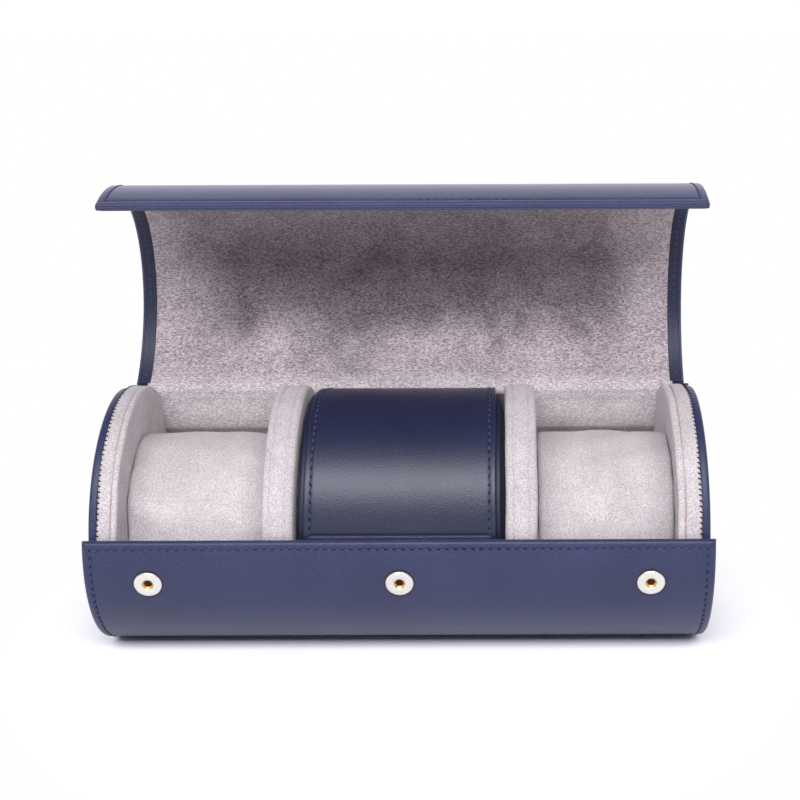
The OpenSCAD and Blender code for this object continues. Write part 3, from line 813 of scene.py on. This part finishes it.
# lid and lip
lidPiece = bentSheet("lidLeather", navyLidLit, lidCentre, lidInner + 0.02, lidR, (lidStart + 0.15, lidEnd), barrel["lidHalf"],
                     0.5, 2.9, False, True, seed=5, place=opened, step=(2.0, 6.0), groove=0.18, puff=0.08,
                     walls=((0.03, 0.0), (0.08, 0.3), (0.2, 0.3), (0.27, 0.0), (0.66, 0.02), (0.78, 0.28), (0.92, 0.34)))


def lidPoint(radius, angle, x=0.0):
    y, z = around(radius, angle, lidCentre)
    return tuple(opened(np.array([[x, y, z]]))[0] * mm)


def overFold(obj):
    # works out two points either side of the line where the lip folds out, which nothing uses, and bakes the piece's
    # placement into its mesh
    lidPoint(lidR, lipA - 1.6)
    lidPoint(lidR, lipA + 1.6)
    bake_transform(obj)


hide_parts("lid_leather", "lid_board", "lip_leather", "lip_board")
overFold(lidPiece)

facing = {"width": 4.7, "under": 0.6, "over": 0.4, "frontWidth": 22.0, "rho": 0.3, "sideIn": 0.9}
lidRow = {"inset": 2.9, "sunk": 0.14}
for side, sx in bothSides:
    middle = sx * (barrel["lidHalf"] - facing["sideIn"] - facing["width"] / 2)

    strip = bentSheet(side + "LidFacing", navyShaded, lidCentre, lidInner - facing["under"], lidInner + facing["over"],
                      (lidStart + 0.3, lidEnd - 1.2), facing["width"] / 2, facing["rho"], None, True, True,
                      place=sideways(middle, opened), step=(2.0, 1.5), seed=8, unevenness=0.04)
    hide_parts("lid_facings", "lip_facings")
    overFold(strip)
    pts, nrm = arcLine(lidInner - 0.58, lidStart + 3, lidEnd - 3, middle, lidCentre)
    nrm = [(0, -b, -c) for _, b, c in nrm]
    row = stitchRow(side + "FacingStitches", pts, nrm, None, slant=3, place=opened, blendTo="lip", size=0.2, lift=0.12)
    overFold(row)
    pts, nrm = arcLine(lidR - lidRow["sunk"], lidStart + 3, lidEnd - arcAngle(lidRow["inset"], lidR),
                       sx * (barrel["lidHalf"] - lidRow["inset"]), lidCentre)
    row = stitchRow(side + "LidStitches", pts, nrm, None, slant=4 * sx, place=opened, blendTo="lip")
    overFold(row)

pts, nrm = levelLine(lidR - lidRow["sunk"], lidEnd - arcAngle(lidRow["inset"], lidR), -barrel["lidHalf"] + lidRow["inset"],
                     barrel["lidHalf"] - lidRow["inset"], lidCentre)
stitchRow("lidEdgeStitches", pts, nrm, "lip", place=opened)
frontFacing = bentSheet("lipFacing", navyShaded, lidCentre, lidInner - facing["under"], lidInner + facing["over"],
                        (lidEnd - arcAngle(facing["frontWidth"], lidR), lidEnd - 1.2), barrel["lidHalf"] - 5.4,
                        facing["rho"], None, True, True, place=opened, seed=9, unevenness=0.04)
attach(frontFacing, "lip")
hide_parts("lip_facings")


def lipLiningLine():
    line = []
    for k in range(31):
        a = lipA - 4 + (lidEnd - arcAngle(facing["frontWidth"], lidR) - lipA + 4.2) * k / 30
        p = opened(np.array([[0, *around(lidInner - 0.25, a, lidCentre)], [0, *around(lidInner - 1.25, a, lidCentre)]]))
        line.append((p[0][1], p[0][2], p[1][1] - p[0][1], p[1][2] - p[0][2]))
    return line


lipPts = lipLiningLine()
lipLining = sweptCloth("lipLining", suedeLining, lipPts, [barrel["lidHalf"] - lining["lidInset"]] * len(lipPts),
                       lining["thick"], 0.0, 12)
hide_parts("lip_lining")
overFold(lipLining)
print("lid ready")

# ends and dividers
pad = {"rim": 44.5, "band": 105.6, "face": {"left": 98.5, "right": 97.1}, "seam": {"left": 100.8, "right": 99.9},
       "dish": 1.9, "edge": 1.15, "uneven": 0.16}


def endProfile(p, face, seam):
    # from the end board over the band, the seam and its ridge to the dished face
    pts = [(p["band"], 0.0), (p["band"], 30.0), (p["band"], p["rim"] - 0.9), (p["band"] - 0.25, p["rim"] - 0.35)]
    pts += [(p["band"] - 0.8, p["rim"] - 0.05), (p["band"] - 2.0, p["rim"] + 0.02), (p["band"] - 3.6, p["rim"] - 0.02),
            (seam + 0.55, p["rim"] - 0.12), (seam + 0.25, p["rim"] - 0.3), (seam + 0.08, p["rim"] - 0.62)]
    pts += [(seam - 0.08, p["rim"] - 0.62), (seam - 0.22, p["rim"] - 0.28), (seam - 0.5, p["rim"] - 0.02),
            (seam - 0.8, p["rim"] + 0.05)]
    pts += roundTurn(face + p["edge"], p["rim"] + 0.02 - p["edge"], p["edge"], 86, 180, 8)
    inner = p["rim"] - p["edge"]
    for k in range(1, 15):
        s = 1 - k / 14
        pts.append((face + p["dish"] * (1 - s * s), inner * s))
    return pts


def dividerProfile(p, d):
    # half of it from the middle of the band over the seam to the face, then mirrored
    half, band, rim = d["thick"] / 2, d["band"] / 2, p["rim"]
    side = [(0.0, rim - 0.02), (band - 0.6, rim - 0.1), (band - 0.25, rim - 0.3), (band - 0.08, rim - 0.62),
            (band + 0.08, rim - 0.62), (band + 0.25, rim - 0.28), (band + 0.5, rim - 0.02), (band + 0.85, rim + 0.02),
            (band + 1.1, rim - 0.1)]
    inner = rim - 0.12 - d["edge"]
    side += [around(d["edge"], a, (half - d["edge"], inner)) for a in (62, 48, 34, 20, 8, 0)]
    for k in range(1, 13):
        s = 1 - k / 12
        side.append((half + d["crown"] * (1 - s * s), inner * s))
    left = [(-x, r) for x, r in side[::-1]]
    return left[:-1] + side


divider = {"x": 42.7, "thick": 11.2, "band": 5.4, "edge": 2.0, "crown": 0.6}
endCap = {"outer": 108.6, "inner": 105.5, "radius": 43.75, "round": 1.1}


def capProfile(c):
    # the leather end, with the line pressed round its rim
    pts = [(c["inner"], 0.0), (c["inner"], c["radius"] - 0.3), (c["inner"] + 0.3, c["radius"]),
           (c["inner"] + 1.0, c["radius"] + 0.06)]
    pts += roundTurn(c["outer"] - c["round"], c["radius"] - c["round"], c["round"], 90, 0, 6)
    pts += [(c["outer"], c["radius"] - 2.0), (c["outer"] - 0.15, c["radius"] - 2.9), (c["outer"], c["radius"] - 3.8),
            (c["outer"], 20.0), (c["outer"], 0.0)]
    return pts


for side, sx in bothSides:
    seed = 20 + sx
    face, seamX = pad["face"][side], pad["seam"][side]
    padPiece = revolve(side + "EndPad", endProfile(pad, face, seamX), suedePad, toAxis(sx), 160, pad["uneven"], seed)
    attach(padPiece, "base")
    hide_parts(*(f"{side}_end_{p}" for p in ("band", "piping", "face", "foam")))
    cap = revolve(side + "EndLeather", capProfile(endCap), navy, toAxis(sx), 160)
    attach(cap, "base")
    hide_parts(f"{side}_end_leather", f"{side}_end_board")
    cord = [around(0.17, t, (seamX, pad["rim"] - 0.42)) for t in range(0, 360, 60)]
    seam = revolve(side + "EndSeam", cord, threadTan, toAxis(sx), 160)
    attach(seam, "base")
    pts, nrm = arcLine(pad["rim"] - 0.12, -24, 204, sx * (pad["band"] - 0.5))
    stitchRow(side + "WhipStitches", pts, nrm, "base", holeShadeAndWhipThread, 1.9, 62, 0.26, False, None, 0.72, 0.14)
    middle = revolve(side + "Divider", dividerProfile(pad, divider), suedePad, toAxis(sx, divider["x"]), 160,
                     pad["uneven"], seed + 5)
    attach(middle, "base")
    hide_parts(*(f"{side}_divider_{p}" for p in ("band", "piping", "faces", "foam", "board")))
print("ends and dividers ready")

# watch cushions
cushion = {"radius": 27.0, "draw": 0.7, "round": 2.4, "uneven": 0.3, "squash": 1.35, "play": 0.12,
           "middleIn": 5.3}


def cushionProfile(c, half):
    # flat ends, rounded edges and a side that draws in towards them
    shoulder, rim = half - c["round"], c["radius"] - c["draw"] - c["round"]

    def corner(way, degrees):
        return [around(c["round"], a, (way * shoulder, rim)) for a in degrees]

    pts = [(-half, 0.0), (-half, 10.0), (-half + 0.02, rim - 0.5)] + corner(-1, range(170, 90, -10))
    for k in range(13):
        s = -1 + 2 * k / 12
        pts.append((s * shoulder, c["radius"] - c["draw"] * s * s))
    return pts + corner(1, range(80, 0, -10)) + [(half - 0.02, rim - 0.5), (half, 10.0), (half, 0.0)]


def cushionPucker(half, seed):
    # small gathers where the side is sewn to the ends
    rng = np.random.default_rng(seed)
    waves = [(int(rng.integers(9, 26)), rng.uniform(0, 6.28)) for _ in range(5)]

    def pucker(x, r, turn):
        near = np.clip((np.abs(x) / half - 0.72) / 0.2, 0, 1) * np.clip((r - 18) / 6, 0, 1)
        return near * sum(np.sin(k * turn + ph) for k, ph in waves) * 0.06
    return pucker


for side, sx in bothSides:
    body = side + "_cushion"
    nearX = divider["x"] + divider["thick"] / 2 + divider["crown"]
    farX = pad["face"][side] + cushion["squash"]
    half = (farX - nearX) / 2 - cushion["play"]
    roll = revolve(side + "Cushion", cushionProfile(cushion, half), suedeCushion, toAxis(sx, (nearX + farX) / 2), 160,
                   cushion["uneven"], 40 + sx, cushionPucker(half, 50 + sx))
    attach(roll, body)
    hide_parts(*(f"{body}_{p}" for p in ("cover", "foam", "ends")))

centreHalf = divider["x"] - divider["thick"] / 2 - cushion["middleIn"]
roll = revolve("centreCushion", cushionProfile(cushion, centreHalf), suedeCushion, toAxis(), 128, 0.2, 47)
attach(roll, "base")
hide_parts("centre_cushion_cover", "centre_cushion_foam")
print("cushions ready")

# drum and flap
drum = {"flapR": 43.3, "leather": 1.2, "board": 0.9, "cloth": 0.5, "half": 35.6, "inset": 1.9, "flapA": 58.0, "flapEnd": 177.0,
        "mouthA": 104.0, "mouthRound": 4.0}
flapHalf = drum["half"] - drum["inset"]
flapInner = drum["flapR"] - drum["leather"] - drum["cloth"]
drumR = flapInner - 0.2
drumRoom = drumR - drum["leather"] - drum["board"] - drum["cloth"]


def roundMouth(verts):
    # pulls the inner leather's two corners in to an arc where it ends under the flap
    out = verts.copy()
    r, half = drum["mouthRound"], drum["half"]
    y, z = verts[:, 1], verts[:, 2] - barrel["axisZ"]
    radius = np.hypot(y, z)
    angle = np.degrees(np.arctan2(z, y)) % 360
    s = np.radians(angle - drum["mouthA"]) * drumR
    s = np.where(angle < 60, 1e3, s)
    u = half - np.abs(verts[:, 0])
    near = (s < r) & (u < r)
    ds, du = r - s, r - u   # how far a point is past the start of the corner, both ways
    big = np.maximum(ds, du)
    length = np.hypot(ds, du)
    scale = np.where(near & (length > 1e-6), big / np.maximum(length, 1e-6), 1.0)
    s2 = np.where(near, r - ds * scale, s)
    u2 = np.where(near, r - du * scale, u)
    a2 = np.radians(drum["mouthA"]) + s2 / drumR
    out[:, 0] = np.where(near, np.sign(verts[:, 0]) * (half - u2), verts[:, 0])
    out[:, 1] = np.where(near, radius * np.cos(a2), verts[:, 1])
    out[:, 2] = np.where(near, barrel["axisZ"] + radius * np.sin(a2), verts[:, 2])
    return out


drumPiece = bentSheet("drumLeather", navyShaded, axisPoint, drumR - 1.9, drumR, (drum["mouthA"] - 360, drum["flapA"]),
                      drum["half"], 0.8, 2.6, True, True, seed=14, clip=roundMouth, step=(2.0, 3.0), groove=0.14,
                      puff=0.08, unevenness=0.03)
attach(drumPiece, "base")
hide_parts("drum_leather", "drum_board")
drumCloth = bentSheet("drumLining", suedePad, axisPoint, drumRoom, drumR - 1.85,
                      (drum["mouthA"] - 360 + 1.4, drum["flapA"] - 1), drum["half"] - 4.0, 0.3, None, True, True, seed=15,
                      clip=roundMouth, step=(2.0, 3.0), unevenness=0.03)
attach(drumCloth, "base")
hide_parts("drum_lining")

strap = bentSheet("drumStrap", navyFlapShaded, axisPoint, drumR + 0.05, drum["flapR"],
                  (drum["flapEnd"] - 360 + 0.4, drum["flapA"] - 0.3), flapHalf, 0.75, 2.1, True, True, seed=16,
                  step=(3.0, 4.0), unevenness=0.03)
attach(strap, "base")
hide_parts("drum_strap")


def flapCorner(verts):
    # the flap's left corner is cut round where it turns over the top
    out = verts.copy()
    angle = np.degrees(np.arctan2(verts[:, 2] - barrel["axisZ"], verts[:, 1])) % 360
    rise = np.clip((98 - angle) / 26, 0, 1)
    cut = 3.4 * (1 - np.sqrt(1 - rise ** 2)) * np.clip(-verts[:, 0] / flapHalf, 0, 1) ** 3
    out[:, 0] += cut
    return out


flapSheet = bentSheet("flapLeather", navyFlapShaded, axisPoint, drum["flapR"] - 1.25, drum["flapR"],
                      (drum["flapA"] + 0.3, drum["flapEnd"]), flapHalf, 0.45, 2.3, True, True, seed=17, step=(2.0, 4.0),
                      groove=0.2, puff=0.12, unevenness=0.08, clip=flapCorner, walls=((0.2, 0.0), (0.5, 0.12)))
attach(flapSheet, "flap")
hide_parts("flap_leather")
flapCloth = bentSheet("flapLining", suedePad, axisPoint, flapInner, drum["flapR"] - 1.2,
                      (drum["flapA"] + 1.5, drum["flapEnd"] - 1.5), flapHalf - 3.8, 0.2, None, True, True, seed=18,
                      step=(2.0, 4.0), unevenness=0.02)
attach(flapCloth, "flap")
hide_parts("flap_lining")
for side, sx in bothSides:
    rowX = sx * (flapHalf - 2.3)
    stitchRow(side + "FlapStitches", *arcLine(drum["flapR"] - 0.14, drum["flapA"] + 5.2, drum["flapEnd"] - 2.4, rowX), "flap",
              slant=6 * sx, place=flapCorner)
    stitchRow(side + "StrapStitches", *arcLine(drum["flapR"] - 0.1, drum["flapEnd"] - 360 + 4, drum["flapA"] - 3, rowX), "base",
              slant=6 * sx)
    ear = bentSheet(side + "DrumEar", navyShaded, axisPoint, drumR - 1.9, drumR, (82, drum["mouthA"] + 6), 1.45, 0.7, None,
                    True, False, seed=19, step=(1.0, 0.6), unevenness=0.02,
                    place=sideways(sx * (drum["half"] - 1.5)))
    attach(ear, "base")
    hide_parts("drum_leather")


def shadeEdge(verts):
    # narrows to a point at its upper end
    out = verts.copy()
    angle = np.degrees(np.arctan2(verts[:, 2] - barrel["axisZ"], verts[:, 1])) % 360
    out[:, 0] = drum["half"] - 0.6 + (verts[:, 0] + 2.0) * np.clip((angle - 90) / 32, 0.05, 1)
    return out


# a near black sheet at the drum's right end: painted shadow in the gap between the drum and the divider
shadeSheet = bentSheet("drumGusset", deepShade, axisPoint, drumR - 2.4, drumR - 1.0, (92, 262), 2.0, 0.3, None, True, True,
                   seed=21, step=(2.0, 1.0), unevenness=0.0, place=shadeEdge)
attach(shadeSheet, "base")
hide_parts("drum_leather")
print("drum and flap ready")

# press studs


def petalWave(radius, height, turn):
    ripple = np.cos(stud["petals"] * turn)
    inside = np.clip((2.0 - radius) / 1.0, 0, 1) * (radius > 0.3)
    return radius + 0.16 * ripple * inside, height - 0.1 * (1 - ripple) * inside


for label, x in stud["places"]:
    r, h = stud["diameter"] / 2, stud["hole"] / 2
    ring = turned(label + "StudRing", [(h, -0.9), (h, 0.28), (h + 0.12, 0.38), (h + 0.3, 0.42), (r - 0.9, 0.42),
                                       (r - 0.45, 0.38), (r - 0.15, 0.26), (r, 0.05), (r - 0.1, -0.3), (r - 0.1, -0.9)],
                  nickel, onStud(x))
    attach(ring, "base")
    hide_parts("stud_rings", "stud_washers")
    socket = turned(label + "StudSocket", [(h + 0.2, -1.2), (h - 0.02, 0.12), (h - 0.12, 0.26), (h - 0.3, 0.2),
                                           (h - 0.42, 0.0), (h - 0.72, -0.28), (h - 0.8, -0.5), (h - 1.05, -0.62),
                                           (h - 1.2, -0.85), (0.62, -0.95), (0.55, -1.5), (0.3, -1.8)],
                    brassGold, onStud(x), 72, petalWave)
    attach(socket, "base")
    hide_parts("stud_sockets")
    # a dark disc deep in the hole: painted shade
    pitShade = turned(label + "StudPit", [(0.56, -1.4), (0.5, -1.25), (0.2, -1.2)], ringShadow, onStud(x), 24)
    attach(pitShade, "base")
    # a thin dark ring round the stud: painted shadow
    shadowRing = turned(label + "StudSeat", [(r + 0.42, -0.3), (r + 0.42, 0.0), (r + 0.3, 0.05), (r + 0.1, 0.0), (r, -0.3)],
                  ringShadow, onStud(x), 64)
    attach(shadowRing, "base")
print("studs ready")

for name, finish in (("hinge_piping", navy), ("flap_piping", navyFlapShaded), ("drum_ends", navyShaded), ("lip_caps", nickel)):
    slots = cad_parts[name].data.materials
    slots.clear()
    slots.append(finish)
